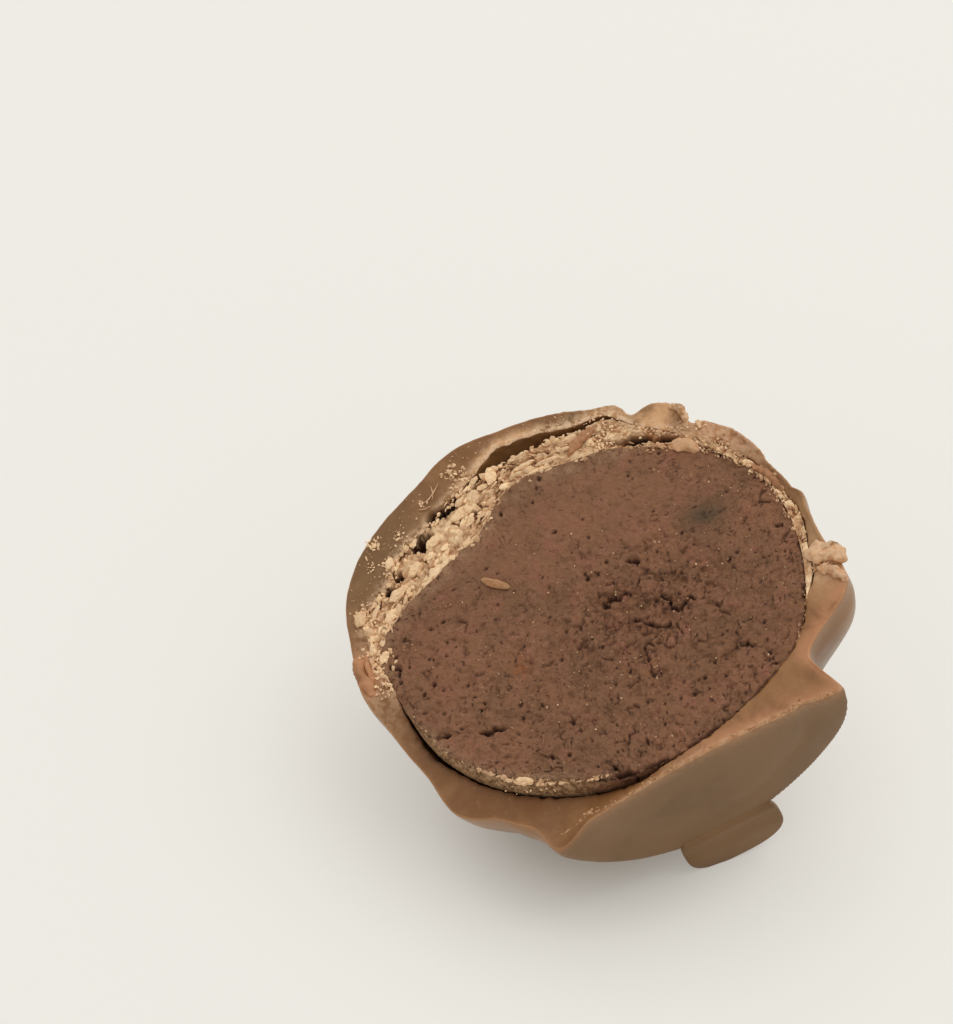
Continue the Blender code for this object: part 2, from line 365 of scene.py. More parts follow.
class Finish:
    """A material for one kind of surface."""

    def __init__(self, name, **plain):
        self.material = bpy.data.materials.new(name)
        self.material.use_nodes = True
        self.tree = self.material.node_tree
        self.shader = self.tree.nodes["Principled BSDF"]
        for socket, value in plain.items():
            self.shader.inputs[socket.replace("_", " ").title()].default_value = value
        self.place = self.node("ShaderNodeTexCoord", {}, {}, "Object")

    def node(self, kind, settings, inputs, out=0):
        made = self.tree.nodes.new(kind)
        for key, value in settings.items():
            setattr(made, key, value)
        for key, value in inputs.items():
            if isinstance(value, Field):
                self.tree.links.new(value.socket, made.inputs[key])
            else:
                made.inputs[key].default_value = value
        return Field(self, made.outputs[out])

    def mark(self, name):
        return self.node("ShaderNodeAttribute", {"attribute_name": name}, {}, "Fac")

    def grain(self, size_mm, detail=3.0, rough=0.55, warp=0.0):
        inputs = {"Vector": self.place, "Scale": 1.0 / (size_mm * MM), "Detail": detail,
                  "Roughness": rough, "Distortion": warp}
        return self.node("ShaderNodeTexNoise", {}, inputs, "Fac")

    def blend(self, share, a, b):
        return self.node("ShaderNodeMix", {"data_type": "RGBA"}, {0: share, 6: a, 7: b}, 2)

    def coats(self, base, *coats):
        """Lays colours over the base one after another, each with its own share."""
        for share, *colour in coats:
            base = self.blend(share, base, tint(*colour))
        return base

    def wire(self, value, socket):
        self.tree.links.new(value.socket, self.shader.inputs[socket])

    def relief(self, height, depth_mm, strength):
        inputs = {"Height": height, "Distance": depth_mm * MM, "Strength": strength}
        self.wire(self.node("ShaderNodeBump", {}, inputs), "Normal")


SHINE, BRIGHT = 0.019, 0.88       # what the room adds to a matt surface, and its share of white


def plain_line(c):
    c = c / 255.0
    return c / 12.92 if c <= 0.04045 else ((c + 0.055) / 1.055) ** 2.4


def tint(red, green, blue):
    """The surface colour that looks like this, 0 to 255, under the studio light."""
    return tuple(max((plain_line(c) - SHINE) / BRIGHT, 0.002) for c in (red, green, blue)) + (1.0,)


def milk_chocolate():
    """Set coating: satin outside, waxy and paler where it is cut."""
    f = Finish("milk_chocolate", roughness=0.4)
    cut, edge, dusty, flat = f.mark("cut"), f.mark("edge"), f.mark("dusty"), f.mark("flat")
    cloud, patch = f.grain(7.0, 3.0), f.grain(2.6, 4.0, 0.6, 0.6)
    fine, grit = f.grain(0.55, 5.0, 0.62), f.grain(0.16, 3.0, 0.6)
    skin = f.blend(cloud.over(0.35, 0.68), tint(131, 95, 64), tint(146, 109, 75))
    # painted shade: the flat foot is painted a darker brown, standing in for the shade on the underside that
    # faces down
    foot = f.blend(cloud.over(0.35, 0.65), tint(113, 84, 53), tint(123, 91, 59))
    skin = f.blend(flat, skin, foot)
    face = f.blend(patch.over(0.34, 0.68), tint(129, 89, 56), tint(150, 108, 71))
    face = f.coats(face, (f.mark("pale") * patch.over(0.3, 0.6), 214, 166, 120),
                   (f.mark("olive") * 0.7, 114, 88, 58),
                   (f.mark("pink") * patch.over(0.2, 0.55), 188, 132, 95),
                   # deep: painted shade on the sunk bottom rim, which faces away from the light
                   (f.mark("deep") * 0.7, 124, 86, 55),
                   (fine.over(0.56, 0.78) * 0.3, 190, 150, 112))
    base = f.coats(f.blend(cut, skin, face), (edge * 0.7, 196, 146, 106),
                   (dusty * fine.over(0.38, 0.56), 222, 188, 154),
                   # hollow: painted shade in the caves, inside the pocket and along the inner edge of the
                   # sunk bottom rim
                   (f.mark("hollow"), 66, 42, 25))
    f.wire(base, "Base Color")
    f.wire(0.32 + 0.26 * cut + 0.2 * flat + 0.25 * dusty + 0.14 * (fine - 0.5), "Roughness")
    f.relief(fine * (0.35 + 0.5 * cut) + grit * (0.1 + 0.3 * cut), 0.07, 0.6)
    return f.material


def ganache_filling():
    """Dull, short filling: soft patches, fine grain, small holes darkened with painted shade."""
    f = Finish("ganache", roughness=0.7)
    hollow, smear = f.mark("hollow"), f.mark("smear")
    cloud, patch, mid = f.grain(6.0, 3.0), f.grain(1.5, 4.0, 0.6, 0.5), f.grain(0.8, 4.0, 0.65, 0.5)
    fine, grit = f.grain(0.36, 5.0, 0.68), f.grain(0.15, 3.0, 0.6)
    # pits pressed in by the relief, their colour darkened as painted shade
    pit_and_painted_shade = f.grain(0.36, 2.0, 0.5, 0.8).over(0.33, 0.26) * f.mark("holes")
    face = f.coats(f.blend(cloud.over(0.34, 0.66), tint(137, 99, 73), tint(151, 106, 79)),
                   (patch.over(0.5, 0.72) * 0.8, 154, 104, 82), (patch.over(0.46, 0.26) * 0.5, 102, 72, 50),
                   (mid.over(0.46, 0.3) * 0.4, 94, 64, 45), (mid.over(0.56, 0.7) * 0.55, 164, 116, 94),
                   (fine.over(0.4, 0.31) * 0.65, 84, 54, 36), (fine.over(0.58, 0.7) * 0.7, 168, 122, 98),
                   (f.mark("herb") * patch.over(0.2, 0.5) * 0.85, 88, 76, 58),
                   (f.mark("orange") * fine.over(0.4, 0.6) * 0.75, 168, 100, 62),
                   (smear * (0.35 + 0.65 * fine.over(0.35, 0.6)), 170, 134, 104))
    wall = f.blend(fine.over(0.42, 0.6), tint(126, 92, 62), tint(188, 150, 112))
    # hollow: painted shade in the cracks and pits, and down the side wall
    base = f.coats(f.blend(f.mark("wall"), face, wall), (pit_and_painted_shade * 0.85, 66, 40, 25), (hollow, 60, 34, 20))
    f.wire(base, "Base Color")
    f.wire(0.62 + 0.22 * fine, "Roughness")
    f.relief(fine + 0.5 * patch + 0.4 * grit - 0.8 * pit_and_painted_shade, 0.28, 1.0)
    return f.material


def crumbly_chocolate():
    """Pale, dry crumb, with painted shade between its grains."""
    f = Finish("pale_crumbly_chocolate", roughness=0.85)
    tone, hollow = f.mark("tone"), f.mark("hollow")
    fine, patch = f.grain(0.25, 4.0, 0.65), f.grain(1.6, 3.0)
    # hollow: painted shade between the grains and in the caves
    base = f.coats(f.blend(tone, tint(164, 116, 80), tint(252, 220, 178)),
                   (patch.over(0.5, 0.7) * 0.3, 214, 160, 112),
                   (fine.over(0.5, 0.3) * 0.28, 160, 112, 76), (hollow, 70, 44, 26))
    f.wire(base, "Base Color")
    f.wire(0.8 + 0.15 * fine, "Roughness")
    f.relief(fine, 0.1, 0.8)
    return f.material


# --- the coating
ROUND, RIM_ROWS = 720, 24        # places round the coating, rows over the thickness it shows
NEAR_RIM = 6.5                   # degrees behind the cut that the rim's forms reach
LIP_LEAST = 0.45
GAPS = ((80, 11, 0.75), (66, 6, 0.4), (112, 8, 0.14), (192, 9, 0.32), (226, 18, 0.1), (257, 9, 0.42))


def around(angle, *places):
    """Soft bumps at places round the cut: each with its middle and spread in degrees, and height."""
    return rises(np.degrees(angle), places)


def stretch(angle, start, full, last, end):
    """1 over a stretch round the cut, in degrees, easing in and out."""
    turn = np.degrees(angle) % 360.0
    return smooth(start, full, turn) * smooth(end, last, turn)


def ring_points(angle, radius):
    return flat_points(np.cos(angle) * radius, np.sin(angle) * radius)


def sunk_way(angle, rise, sink):
    """Directions, with the rim let down below the cut by sink mm."""
    way = directions(angle, rise)
    way[:, 1] += sink / (BODY_WIDTH / 2.0) * (1.0 - limit(way[:, 1])) ** 6
    return unit(way)


def blot(u, v, middle_u, middle_v, wide, tall):
    """1 in the middle of a spot on the cut; wide and tall are squared, in mm2."""
    return np.exp(-((u - middle_u) ** 2 / wide + (v - middle_v) ** 2 / tall))


def opening(angle):
    """Clear gap inside the coating at the rim, in mm."""
    ragged = np.maximum(swell(ring_points(angle, 16.0), 2.4, 3), 0.0)
    return 0.03 + 0.1 * ragged + around(angle, (93, 11, 1.25)) * (0.8 + 0.5 * ragged) + around(angle, *GAPS)


def coating():
    """Rings from the bottom of the pocket to its rim, over the cut, and round the outside."""
    pocket = np.concatenate([np.linspace(84.0, 6.0, 9), np.linspace(4.0, 0.4, 5)])
    skin = [np.linspace(0.5, 6.0, 13), np.linspace(6.7, 54.0, 64), np.linspace(57.0, 88.5, 13)]
    skin = np.concatenate(skin)
    bm = bmesh.new()
    bmesh.ops.create_circle(bm, segments=ROUND, radius=1.0)
    start = bm.edges[:]
    end = grow_rings(bm, start, len(pocket) + RIM_ROWS + len(skin) - 1)
    close_loop(bm, start)
    close_loop(bm, end)
    at = plan(bm)
    row = np.rint(at[:, 2]).astype(int)
    angle = np.arctan2(at[:, 1], at[:, 0])
    pole = np.hypot(at[:, 0], at[:, 1]) < 0.5
    inner, outer = row < len(pocket), row >= len(pocket) + RIM_ROWS
    strip = ~inner & ~outer
    rise = np.zeros(len(at))
    rise[inner] = np.radians(pocket)[row[inner]]
    rise[outer] = np.radians(skin)[row[outer] - len(pocket) - RIM_ROWS]
    rise[pole] = math.pi / 2.0
    tongue = 0.22 * swell(ring_points(angle, BODY_WIDTH / 2.0), 2.6, 4)
    sink_in = 1.8 * stretch(angle, 172, 190, 240, 268)
    sink_out = (1.7 + tongue) * stretch(angle, 170, 192, 234, 252)

    way_in = sunk_way(angle, rise * inner, sink_in)
    near = fade(np.degrees(rise * inner), NEAR_RIM)
    closed = np.where(np.degrees(angle) % 360.0 > 185.0, LAYER_GAP, CRUST_GAP)
    wall = pocket_radius(way_in) + (opening(angle) - closed) * near
    wall += near * (0.12 * on_body(way_in, 0.8, 5) + 0.06 * on_body(way_in, 0.3, 55))
    wall = np.minimum(wall, coat_radius(way_in)[0] - LIP_LEAST) * tucked(way_in)
    inside = way_in * wall[:, None]

    way_out = sunk_way(angle, rise * outer, sink_out)
    hull, flat = coat_radius(way_out)
    nick = fade(np.degrees(rise * outer), 2.5, 1)
    crumbled = 0.4 + 1.1 * stretch(angle, 0, 15, 70, 85)
    ragged = 0.05 * on_body(way_out, 1.1, 6) + 0.04 * on_body(way_out, 0.4, 7)
    hull += nick * crumbled * ragged
    outside = way_out * hull[:, None]

    t = limit((row - len(pocket) + 0.5) / RIM_ROWS)
    points = np.where(outer[:, None], outside, inside)
    rim = inside + (outside - inside) * t[:, None]
    u, v = rim[:, 0], rim[:, 2]
    width = np.linalg.norm(outside - inside, axis=1)
    from_out, from_in = (1.0 - t) * width, t * width
    place = flat_points(u, v)
    ridge = stretch(angle, 240, 250, 306, 318)
    torn = around(angle, (-19, 5, 1.0), (62, 10, 0.4), (170, 12, 0.5), (28, 13, 0.8))
    level, crack = clods(u / 0.7 + 9.0, v / 0.7, 3)
    rough = limit(torn + 0.5 * ridge * fade(from_out, 0.5))
    height = 0.06 * swell(place, 1.7, 8) + 0.02 * swell(place, 0.5, 9)
    height += rough * (0.22 * (level - 0.4) - 0.12 * fade(crack, 0.12, 1.5))
    burr = fade(from_out - 0.2, 0.14) * (0.5 + 0.6 * swell(place, 1.3, 10))
    height += (0.11 + 0.1 * ridge) * burr
    height -= 0.1 * fade(from_out, 0.08, 1) + 0.07 * fade(from_in, 0.1, 1)
    cave = cave_depth(u, v + HEART_HEIGHT)
    points[strip] = rim[strip]
    points[strip, 1] -= height[strip]
    points[strip | inner, 1] += (cave * np.where(strip, 1.0, near))[strip | inner]

    by_crust = fade(from_in, 0.6) * stretch(angle, 25, 60, 160, 178)
    over_foot = fade(from_out, 1.3) * stretch(angle, 262, 280, 330, 345)
    bottom = stretch(angle, 174, 186, 246, 262)
    pale = around(angle, (46, 13, 0.9), (-15, 14, 0.5))
    pale = pale + fade(from_in - 0.3, 0.4) * around(angle, (92, 26, 0.9))
    pink = around(angle, (165, 6, 0.8), (28, 10, 0.6)) + 0.8 * over_foot
    olive = around(angle, (134, 20, 1.0), (-8, 10, 0.7)) + blot(u, v, 5.2, 15.8, 1.3, 0.3)
    in_pocket = smooth(3.0, 11.0, np.degrees(rise))
    marks = {
        "cut": np.where(strip, 1.0, np.where(outer, nick * 0.3, 0.3)),
        "edge": np.where(strip, fade(from_out, 0.1 + 0.22 * ridge), nick * 0.45 * outer),
        "dusty": np.where(strip, by_crust + 0.55 * rough, 0.3 * nick * rough),
        # flat marks the foot, which the finish paints darker as painted shade
        "flat": outer * flat,
        "pale": strip * limit(pale),
        "pink": strip * limit(pink),
        "olive": strip * limit(olive),
        # deep: painted shade on the sunk bottom rim, which faces away from the light
        "deep": strip * bottom * (0.45 + 0.55 * fade(from_in, 0.9)) * smooth(0.0, 0.5, from_out),
        # hollow: painted shade in the caves, inside the pocket and along the inner edge of the sunk bottom
        # rim
        "hollow": np.maximum(smooth(0.2, 1.2, cave) * ~outer, np.where(
            inner, in_pocket, strip * bottom * fade(from_in, 0.12, 1) * 0.8)),
    }
    return finish_piece("coating_with_foot", bm, lay(points, HEART_HEIGHT),
                        MILK, marks, "coating")


SOLE_RINGS, SQUARENESS = 14, 2.6


def drip():
    """Rounded lobe behind the foot, its own flat in the plane of the foot."""
    bm = bmesh.new()
    bmesh.ops.create_uvsphere(bm, u_segments=120, v_segments=60, radius=1.0)
    everything = bm.verts[:] + bm.edges[:] + bm.faces[:]
    low = (DRIP_SOLE - TAB_CENTRE[2]) / TAB_HALF[2]
    cut = bmesh.ops.bisect_plane(bm, geom=everything, dist=1e-6, plane_co=(0, 0, low),
                                 plane_no=(0, 0, -1), clear_outer=True)
    loop = [g for g in cut["geom_cut"] if isinstance(g, bmesh.types.BMEdge)]
    for ring in range(SOLE_RINGS):
        verts, loop = grow_ring(bm, loop)
        keep = 1.0 - 1.0 / (SOLE_RINGS + 0.5 - ring)
        bmesh.ops.scale(bm, verts=verts, vec=(keep, keep, 1.0))
    close_loop(bm, loop)
    at = plan(bm)
    full = np.maximum((np.abs(at[:, :2]) ** SQUARENESS).sum(axis=1), 1e-9) ** (1.0 / SQUARENESS)
    plain = np.hypot(at[:, 0], at[:, 1])
    grow = np.where(full > 1e-4, plain / np.maximum(full, 1e-4), 1.0)
    at = at * np.stack([grow, grow, np.ones(len(at))], 1) * TAB_HALF + TAB_CENTRE
    sole = at[:, 2] < DRIP_SOLE + 0.02
    at[:, 2] += 0.1 * smooth(0.0, 1.0, 1.0 - plain) * sole
    at[:, 2] += 0.75 * smooth(12.3, 10.9, at[:, 1]) - 0.28 * smooth(12.4, 14.4, at[:, 1])
    at[:, 1] += 0.08 * (at[:, 0] - TAB_CENTRE[0])
    at = at + 0.07 * (~sole)[:, None] * np.stack([swell(at, 2.2, 70 + k) for k in range(3)], 1)
    # flat 0.9 gives the drip the foot's darker colour, which is painted shade
    marks = {"cut": 0.0, "flat": 0.9, "edge": 0.35 * fade(at[:, 2] - 0.15, 0.18)}
    return finish_piece("drip_behind_foot", bm, lay(at), MILK, marks)


# --- the filling
def trace(u, v, path, reach):
    """Distance from points to a broken line that thins out to its ends, worked out only near it."""
    path = np.asarray(path, float)
    gap = np.full(len(u), 9.0)
    near = ((u > path[:, 0].min() - reach) & (u < path[:, 0].max() + reach)
            & (v > path[:, 1].min() - reach) & (v < path[:, 1].max() + reach))
    pu, pv = u[near], v[near]
    best = np.full(len(pu), 9.0)
    parts = len(path) - 1
    for part, ((u0, v0), (u1, v1)) in enumerate(zip(path[:-1], path[1:])):
        du, dv = u1 - u0, v1 - v0
        k = limit(((pu - u0) * du + (pv - v0) * dv) / (du * du + dv * dv))
        thin = 1.0 - 0.6 * np.abs(2.0 * (part + k) / parts - 1.0) ** 2
        best = np.minimum(best, np.hypot(pu - u0 - k * du, pv - v0 - k * dv) / thin)
    gap[near] = best
    return gap


NAMED_CRACKS = (
    # half width, depth, places along it
    (0.13, 0.6, ((0.7, 15.9), (1.0, 15.6), (1.5, 15.8), (2.0, 15.4), (2.6, 15.5), (3.0, 15.1))),
    (0.15, 0.6, ((5.2, 14.1), (4.9, 13.6), (5.3, 13.1), (5.2, 12.5), (5.7, 12.1), (6.2, 12.3))),
    (0.11, 0.5, ((2.7, 12.4), (3.3, 12.0), (3.6, 11.5), (4.4, 11.3), (4.7, 11.6))),
    (0.12, 0.5, ((6.3, 12.4), (6.9, 12.6), (7.1, 12.1))),
    (0.2, 0.8, ((3.9, 17.9), (4.3, 17.6), (4.6, 17.3))),
    (0.2, 0.8, ((0.8, 15.6), (1.1, 15.2))),
    (0.17, 0.6, ((2.2, 12.9), (2.6, 12.6))),
    (0.15, 0.6, ((4.4, 13.8), (4.7, 13.5))),
    (0.13, 0.5, ((1.3, 18.3), (1.6, 18.1))),
    (0.17, 0.8, ((-12.3, 10.9), (-11.6, 10.6), (-11.0, 10.5), (-10.3, 10.1))),
    (0.16, 0.7, ((-14.8, 12.2), (-14.3, 11.9))),
    (0.1, 0.5, ((-0.1, 23.3), (0.5, 23.1))),
    (0.14, 0.6, ((15.1, 14.4), (15.7, 14.1))),
    (0.11, 0.5, ((8.3, 6.6), (8.9, 6.5), (9.3, 6.1))),
    (0.1, 0.5, ((-15.9, 19.6), (-15.3, 19.1), (-15.5, 18.5))),
    (0.34, 0.9, ((-4.6, 1.9), (-4.0, 1.7), (-3.4, 1.2))),
    (0.24, 0.8, ((-4.5, 2.8), (-4.3, 2.2))),
    (0.14, 0.5, ((-1.2, 1.1), (-0.6, 1.0))),
)
CLOSED_AREA = (1.0, 24.0, 170.0, 40.0)      # the knife pressed the top of the filling smooth
TORN_AREA = (3.8, 13.6, 5.4)
PITS, GRAINS = 380, 300
SPLITS = (
    # width of a clod, step from one to the next, depth, width and share of the cracks, seed
    (1.35, 0.26, 0.3, 0.075, 0.04, 4), (0.66, 0.15, 0.22, 0.06, 0.1, 5), (0.37, 0.07, 0.1, 0.05, 0.3, 6),
)


def filling_relief(u, v):
    """Height of the cut filling, the painted shade in its hollows, and how coarse it is."""
    rng = np.random.default_rng(41)
    at = flat_points(u, v)
    torn = fade(np.hypot(u - TORN_AREA[0], v - TORN_AREA[1]), TORN_AREA[2])
    coarse = 1.0 - blot(u, v, *CLOSED_AREA)
    height = 0.12 * swell(at, 7.0, 11) + 0.06 * swell(at, 2.4, 12)
    wu, wv = u + 0.28 * swell(at, 0.7, 18), v + 0.28 * swell(at, 0.7, 19)
    # hollow: painted shade in the cracks and pits
    hollow = np.zeros_like(u)
    for size, step, depth, width, share, seed in SPLITS:
        level, crack = clods(wu / size + 40.0, wv / size + 20.0, seed)
        loose = swell(at, size * 1.3, seed + 20) * 0.75 + 0.3 * torn + 0.1 * coarse - 0.05
        line = fade(crack * size, width, 1.6) * smooth(0.4 - share, 0.6 - share, loose)
        step = step * (level - 0.5) * smooth(0.0, 0.16, crack)
        height += step * (0.12 + 0.75 * coarse + 1.5 * torn) - depth * line * (0.35 + 0.65 * coarse)
        hollow = np.maximum(hollow, line * min(1.0, depth * 2.6) * (0.4 + 0.6 * coarse))
    height += (0.02 + 0.05 * coarse) * swell(at, 0.42, 15) + 0.012 * swell(at, 0.22, 16)
    height += 0.1 * torn * np.maximum(swell(at, 0.8, 29), -0.2) + 0.05 * torn * swell(at, 0.3, 30)
    wobble = 0.5 + 0.5 * swell(at, 0.45, 17)

    def press(gap, half, depth):
        nonlocal height, hollow
        cut = fade(gap, half)
        height -= depth * cut
        hollow = np.maximum(hollow, cut * min(1.0, 0.5 + depth))

    jag_u = u + 0.16 * swell(at, 0.42, 25) + 0.08 * swell(at, 0.2, 26)
    jag_v = v + 0.16 * swell(at, 0.42, 27) + 0.08 * swell(at, 0.2, 28)
    for half, depth, path in NAMED_CRACKS:
        press(trace(jag_u, jag_v, path, 1.2) / (0.35 + 1.2 * wobble), half, depth)
    for _ in range(PITS):
        cu, cv, half = rng.uniform(-16.5, 16.5), rng.uniform(0.8, 29), rng.uniform(0.05, 0.17)
        if rng.random() < 0.8 * blot(cu, cv, *CLOSED_AREA):
            continue
        heading, long = rng.uniform(0, math.tau), rng.uniform(0.0, 3.0) * half
        path = [(cu, cv), (cu + long * math.cos(heading) + 1e-3, cv + long * math.sin(heading))]
        press(trace(u, v, path, 4.0 * half) / (0.3 + 1.3 * wobble), half, rng.uniform(0.1, 0.4))
    for _ in range(GRAINS):
        cu, cv, half = rng.uniform(-16, 16), rng.uniform(1, 28), rng.uniform(0.1, 0.3)
        gap = trace(u, v, [(cu, cv), (cu + 0.01, cv)], 3.0 * half) / (0.5 + 1.0 * wobble)
        height += rng.uniform(0.02, 0.09) * fade(gap, half, 2.5)
    return height, hollow, coarse


def ganache():
    """A fine grid over the cut, pulled round, and rings down the ball below it."""
    grid, wall = 280, 16
    bm = bmesh.new()
    bmesh.ops.create_grid(bm, x_segments=grid, y_segments=grid, size=1.0)
    rim = [e for e in bm.edges if e.is_boundary]
    close_loop(bm, grow_rings(bm, rim, wall))
    at = plan(bm)
    x, y, ring = at[:, 0], at[:, 1], np.rint(at[:, 2])
    disc_x = x * np.sqrt(np.maximum(1.0 - y * y / 2.0, 0.0))
    disc_y = y * np.sqrt(np.maximum(1.0 - x * x / 2.0, 0.0))
    angle, share = np.arctan2(disc_y, disc_x), np.hypot(disc_x, disc_y)
    face = ring < 0.5
    rise = np.radians(86.0 * (np.maximum(ring, 0.0) / wall) ** 2.2)
    rise[(share < 0.5) & ~face] = math.pi / 2.0
    way = directions(angle, rise)
    radius = filling_radius(way) * tucked(way)
    bare = stretch(angle, 174, 188, 236, 254)
    deep = radius * np.sin(rise)
    radius -= bare * (0.45 + around(angle, (232, 16, 0.45))) * fade(deep, 0.8, 1)
    frayed = 0.09 * swell(way * 17.0, 0.9, 21) + 0.06 * swell(way * 17.0, 0.35, 22)
    radius += frayed * fade(np.degrees(rise), 12.0, 1) * np.where(face, share ** 8, 1.0)
    points = way * (radius * np.where(face, share, 1.0))[:, None]
    u, v = points[:, 0], points[:, 2] + HEART_HEIGHT
    place = flat_points(u, v)
    height, hollow, coarse = filling_relief(u, v)
    from_edge = (1.0 - share) * radius
    under_crust = stretch(angle, 40, 60, 160, 176)
    right = stretch(angle, 272, 290, 345, 358)
    shut = 1.0 - 0.8 * smooth(0.0, 0.5, swell(place, 1.5, 56))
    ragged = stretch(angle, 238, 250, 284, 296) * smooth(-0.5, 0.2, swell(place, 0.7, 57))
    gash = ragged * fade(from_edge, 0.22 + 0.12 * swell(place, 0.5, 58))
    # painted shade: a broken dark line along the right edge, and in the torn gashes
    hollow = np.maximum(np.maximum(hollow, 0.8 * right * shut * fade(from_edge, 0.09)), 0.95 * gash)
    height -= 0.45 * gash + 0.12 * right * fade(from_edge, 0.12)
    height -= (0.05 + 0.1 * bare) * fade(from_edge, 0.16, 1)
    height += 0.1 * under_crust * fade(from_edge, 0.5, 1)
    points[:, 1] -= np.where(face, height, -0.05 * np.exp(-ring))
    smear = fade(from_edge, 1.1) * under_crust * (0.55 + 0.9 * swell(place, 0.9, 23))
    lit = fade(from_edge, 0.5) * bare * (0.75 + 0.7 * swell(place, 0.8, 24))
    marks = {
        # on the side wall, painted shade that darkens further down
        "hollow": np.where(face, hollow, smooth(1.9, 3.6, deep) * 0.9),
        "wall": ~face * bare,
        "holes": face * (0.25 + 0.75 * coarse),
        "smear": face * limit(smear + lit),
        "herb": blot(u, v, 11.0, 18.2, 3.4, 1.2) * face,
        "orange": blot(u, v, -7.1, 14.3, 0.5, 0.8) * face,
    }
    return finish_piece("ganache_filling", bm, lay(points, HEART_HEIGHT),
                        GANACHE, marks, "ganache")


# --- the pale inner coat
CAVES = (
    # place on the cut, half length, half width, lean in degrees
    (-6.7, 29.6, 1.35, 0.45, 6.0), (-9.15, 28.0, 1.05, 0.6, 11.0), (-11.9, 26.35, 0.5, 0.35, 40.0),
    (-13.2, 25.6, 0.42, 0.32, 20.0), (-14.5, 25.0, 0.38, 0.26, 50.0), (-3.6, 29.9, 0.3, 0.25, 0.0),
    (9.1, 26.8, 1.2, 0.42, -20.0), (11.0, 25.8, 0.9, 0.32, -25.0), (13.4, 23.1, 0.8, 0.32, -50.0),
    (-4.3, 26.4, 0.3, 0.18, 20.0), (-11.1, 23.9, 0.4, 0.2, 30.0), (-15.0, 22.6, 0.4, 0.2, 60.0),
)


def cave_share(u, v, cave):
    """How far from one cave's middle: 1 on its edge."""
    cu, cv, long, wide, lean = cave
    c, s = math.cos(math.radians(lean)), math.sin(math.radians(lean))
    du, dv = u - cu, v - cv
    return np.hypot((du * c + dv * s) / long, (-du * s + dv * c) / wide)


def crust_low(turn):
    return crust_edge(turn) - CRUST_TAPER


def crust_outside(way):
    lift, turn = lift_turn(way)
    low = filling_radius(way) + 0.14
    return low + (crust_radius(way) - low) * smooth(-CRUST_TAPER, -5.0, lift - crust_edge(turn))


def crust_inside(way):
    return filling_radius(way) + 0.05


def cave_depth(u, v):
    """Depth of the hollows below the cut, at points on it."""
    ragged = 0.25 * swell(flat_points(u, v), 0.45, 57) + 0.15 * swell(flat_points(u, v), 0.2, 58)
    depth = np.zeros_like(u)
    for cave in CAVES:
        depth = np.maximum(depth, 2.0 * smooth(1.15, 0.75, cave_share(u, v, cave) + ragged))
    return depth


def crust_relief(u, v, angle, radius):
    """Big and small crumbs pressed together, layered at the top, with caves between; also painted shade in
    their low places and caves, and their tones, with painted highlights on the raised crumbs.
    """
    lane, at = flat_points(angle * 16.0, radius), flat_points(u, v)
    warp = swell(at, 0.9, 36)
    wu, wv = u + 0.35 * warp, v + 0.35 * swell(at, 0.9, 40)
    big, gap = clods(wu / 1.25 + 30.0, wv / 0.95 + 30.0, 7)
    mid, split = clods(wu / 0.52 + 60.0, wv / 0.42 + 10.0, 8)
    small, _ = clods(u / 0.22 + 90.0, v / 0.22 + 50.0, 9)
    big, mid, small = big - 0.5, mid - 0.5, small - 0.5
    loose = smooth(-0.15, 0.35, swell(at, 1.8, 41))
    height = -0.05 + 0.42 * big * smooth(0.0, 0.3, gap) + 0.18 * mid + 0.07 * small
    height += 0.14 * swell(at, 1.6, 34) + 0.05 * swell(at, 0.3, 33)
    layered = 0.5 + 0.5 * np.cos(math.tau * (radius / 0.42 + 0.5 * warp + 0.35 * swell(lane, 3.0, 37)))
    height += (layered ** 3 - 0.4) * around(angle, (97, 14, 0.36))
    height -= (0.05 + 0.35 * loose) * fade(gap, 0.1, 1.5)
    height -= (0.04 + 0.16 * loose) * fade(split, 0.12, 1.5)
    # tone: each crumb's own random tone, plus painted highlight where the crumbs stand higher
    tone = 0.62 - around(angle, (45, 14, 0.3)) + 0.4 * big + 0.3 * mid + 0.15 * small + 0.9 * height
    cave = cave_depth(u, v)
    # the second value is painted shade in the low places and caves
    return height - cave, np.maximum(smooth(-0.34, -0.66, height), smooth(0.2, 1.2, cave)), tone


RIM_ON_CUT, RIM_BEHIND, CUT_ROWS = 600, 60, 36


def crust_rim():
    """Directions round the pale coat's boundary: over the dome in the cut, then back behind."""
    right, left = crust_low(np.array([0.0, math.pi]))
    along = np.radians(np.linspace(right, 180.0 - left, RIM_ON_CUT, endpoint=False))
    turn = np.linspace(math.pi, 0.0, RIM_BEHIND, endpoint=False)
    lift = np.radians(crust_low(turn))
    return np.concatenate([directions(along, 0.0 * along), globe(turn, lift)])


